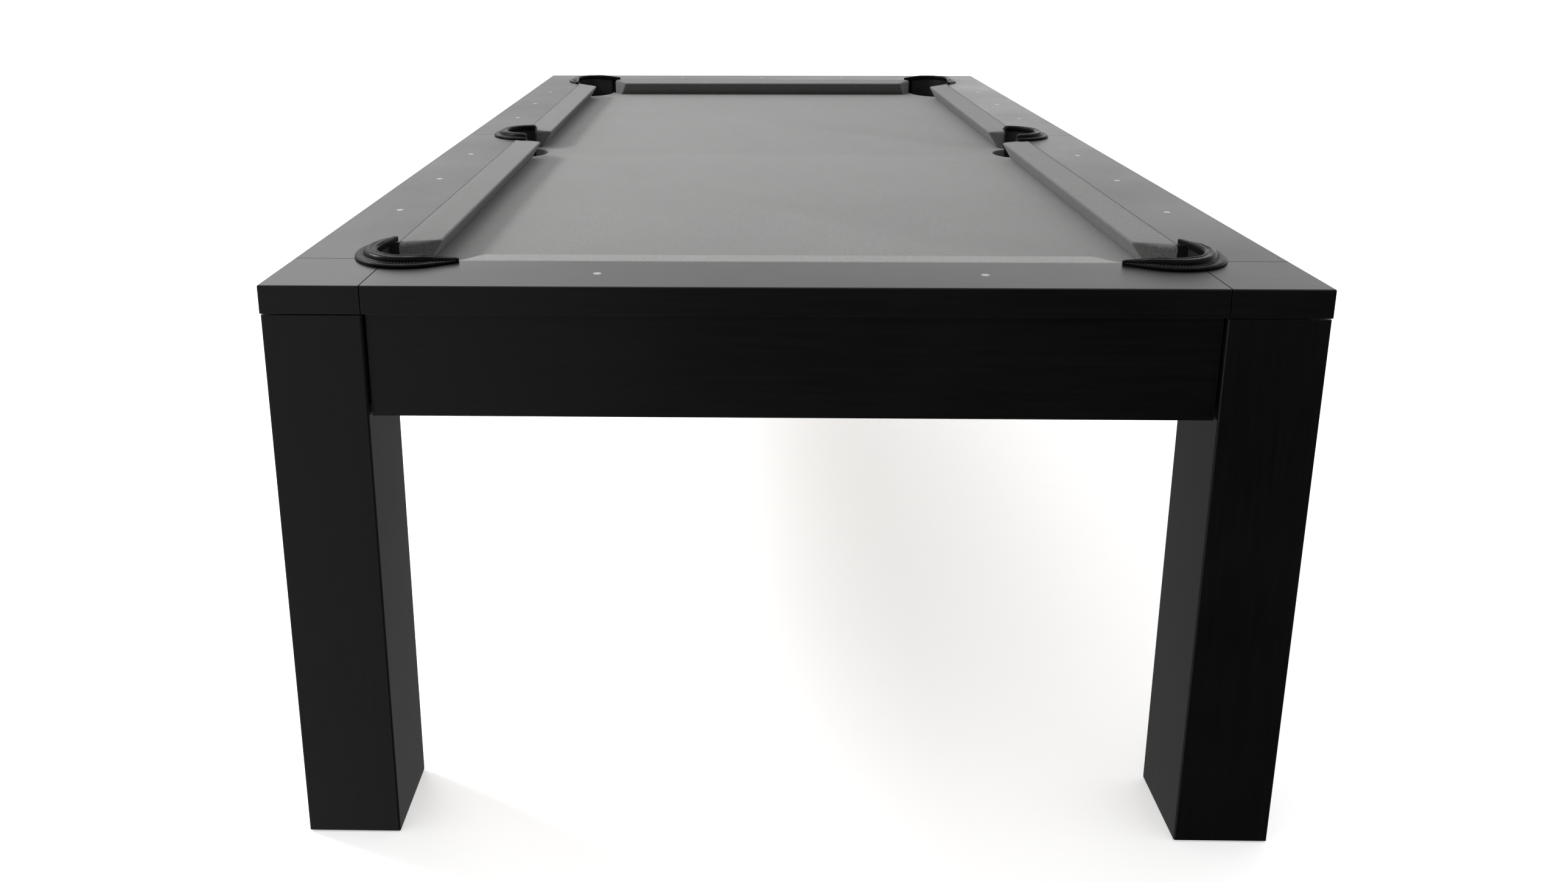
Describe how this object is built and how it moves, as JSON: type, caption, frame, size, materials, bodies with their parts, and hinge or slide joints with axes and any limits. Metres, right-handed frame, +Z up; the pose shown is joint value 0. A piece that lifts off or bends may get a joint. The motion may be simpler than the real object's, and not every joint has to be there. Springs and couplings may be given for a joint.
{
  "type": "pool table",
  "caption": "Drop-pocket pool table with square legs, flat graphite rails, grey cloth, leather pocket collars, slate bed on a timber frame and levelling feet.",
  "frame": {"origin": "on the floor under the middle of the table", "axes": "+Z up, +Y along the table from the near end to the far end, +X to the right when looking along +Y"},
  "size_m": [1.3266, 2.3172, 0.807],
  "materials": {
    "graphite_wood": "satin black stain",
    "grey_cloth": "napped billiard cloth",
    "cushion_rubber": "matt gum rubber",
    "zinc_steel": "zinc plated",
    "slate": "honed",
    "black_leather": "semi gloss, stitched",
    "black_liner": "matt moulded",
    "pearl_inlay": "pearl",
    "brass_insert": "turned",
    "foot_pad": "matt moulded",
    "frame_timber": "planed, unfinished"
  },
  "bodies": {
    "table": {"apron_far": "graphite_wood", "apron_left": "graphite_wood", "apron_near": "graphite_wood", "apron_right": "graphite_wood", "bed_cloth": "grey_cloth", "centre_beams": "frame_timber", "corner_block_left_far": "graphite_wood", "corner_block_left_near": "graphite_wood", "corner_block_right_far": "graphite_wood", "corner_block_right_near": "graphite_wood", "cushion_cloth_far": "grey_cloth", "cushion_cloth_left_far": "grey_cloth", "cushion_cloth_left_near": "grey_cloth", "cushion_cloth_near": "grey_cloth", "cushion_cloth_right_far": "grey_cloth", "cushion_cloth_right_near": "grey_cloth", "cushion_rubbers": "cushion_rubber", "end_beam_far": "frame_timber", "end_beam_near": "frame_timber", "foot_inserts": "brass_insert", "frame_bolts": "zinc_steel", "leg_left_far": "graphite_wood", "leg_left_near": "graphite_wood", "leg_right_far": "graphite_wood", "leg_right_near": "graphite_wood", "pocket_collar_left": "black_leather", "pocket_collar_left_far": "black_leather", "pocket_collar_left_near": "black_leather", "pocket_collar_right": "black_leather", "pocket_collar_right_far": "black_leather", "pocket_collar_right_near": "black_leather", "pocket_liner_left": "black_liner", "pocket_liner_left_far": "black_liner", "pocket_liner_left_near": "black_liner", "pocket_liner_right": "black_liner", "pocket_liner_right_far": "black_liner", "pocket_liner_right_near": "black_liner", "rail_bolts": "zinc_steel", "rail_far": "graphite_wood", "rail_left_far": "graphite_wood", "rail_left_near": "graphite_wood", "rail_near": "graphite_wood", "rail_right_far": "graphite_wood", "rail_right_near": "graphite_wood", "seam_beams": "frame_timber", "side_beam_left": "frame_timber", "side_beam_right": "frame_timber", "sights": "pearl_inlay", "slate_far": "slate", "slate_middle": "slate", "slate_near": "slate", "slate_screws": "zinc_steel"},
    "foot_left_near": {"foot_pad_left_near": "foot_pad"},
    "screw_left_near": {"foot_stem_left_near": "zinc_steel"},
    "foot_left_far": {"foot_pad_left_far": "foot_pad"},
    "screw_left_far": {"foot_stem_left_far": "zinc_steel"},
    "foot_right_near": {"foot_pad_right_near": "foot_pad"},
    "screw_right_near": {"foot_stem_right_near": "zinc_steel"},
    "foot_right_far": {"foot_pad_right_far": "foot_pad"},
    "screw_right_far": {"foot_stem_right_far": "zinc_steel"}
  },
  "joints": [
    {"name": "foot_height_left_near", "type": "slide", "parent": "table", "child": "foot_left_near", "axis": [0, 0, -1], "range_m": [0, 0.02]},
    {"name": "foot_turn_left_near", "type": "hinge", "parent": "foot_left_near", "child": "screw_left_near", "pos_m": [-0.5988, -1.0941, 0], "axis": [0, 0, -1], "continuous": true},
    {"name": "foot_height_left_far", "type": "slide", "parent": "table", "child": "foot_left_far", "axis": [0, 0, -1], "range_m": [0, 0.02]},
    {"name": "foot_turn_left_far", "type": "hinge", "parent": "foot_left_far", "child": "screw_left_far", "pos_m": [-0.5988, 1.0941, 0], "axis": [0, 0, -1], "continuous": true},
    {"name": "foot_height_right_near", "type": "slide", "parent": "table", "child": "foot_right_near", "axis": [0, 0, -1], "range_m": [0, 0.02]},
    {"name": "foot_turn_right_near", "type": "hinge", "parent": "foot_right_near", "child": "screw_right_near", "pos_m": [0.5988, -1.0941, 0], "axis": [0, 0, -1], "continuous": true},
    {"name": "foot_height_right_far", "type": "slide", "parent": "table", "child": "foot_right_far", "axis": [0, 0, -1], "range_m": [0, 0.02]},
    {"name": "foot_turn_right_far", "type": "hinge", "parent": "foot_right_far", "child": "screw_right_far", "pos_m": [0.5988, 1.0941, 0], "axis": [0, 0, -1], "continuous": true}
  ],
  "couplings": [
    {"joint": "foot_turn_left_near", "follows": "foot_height_left_near", "rad_per_m": 3590.4},
    {"joint": "foot_turn_left_far", "follows": "foot_height_left_far", "rad_per_m": 3590.4},
    {"joint": "foot_turn_right_near", "follows": "foot_height_right_near", "rad_per_m": 3590.4},
    {"joint": "foot_turn_right_far", "follows": "foot_height_right_far", "rad_per_m": 3590.4}
  ]
}
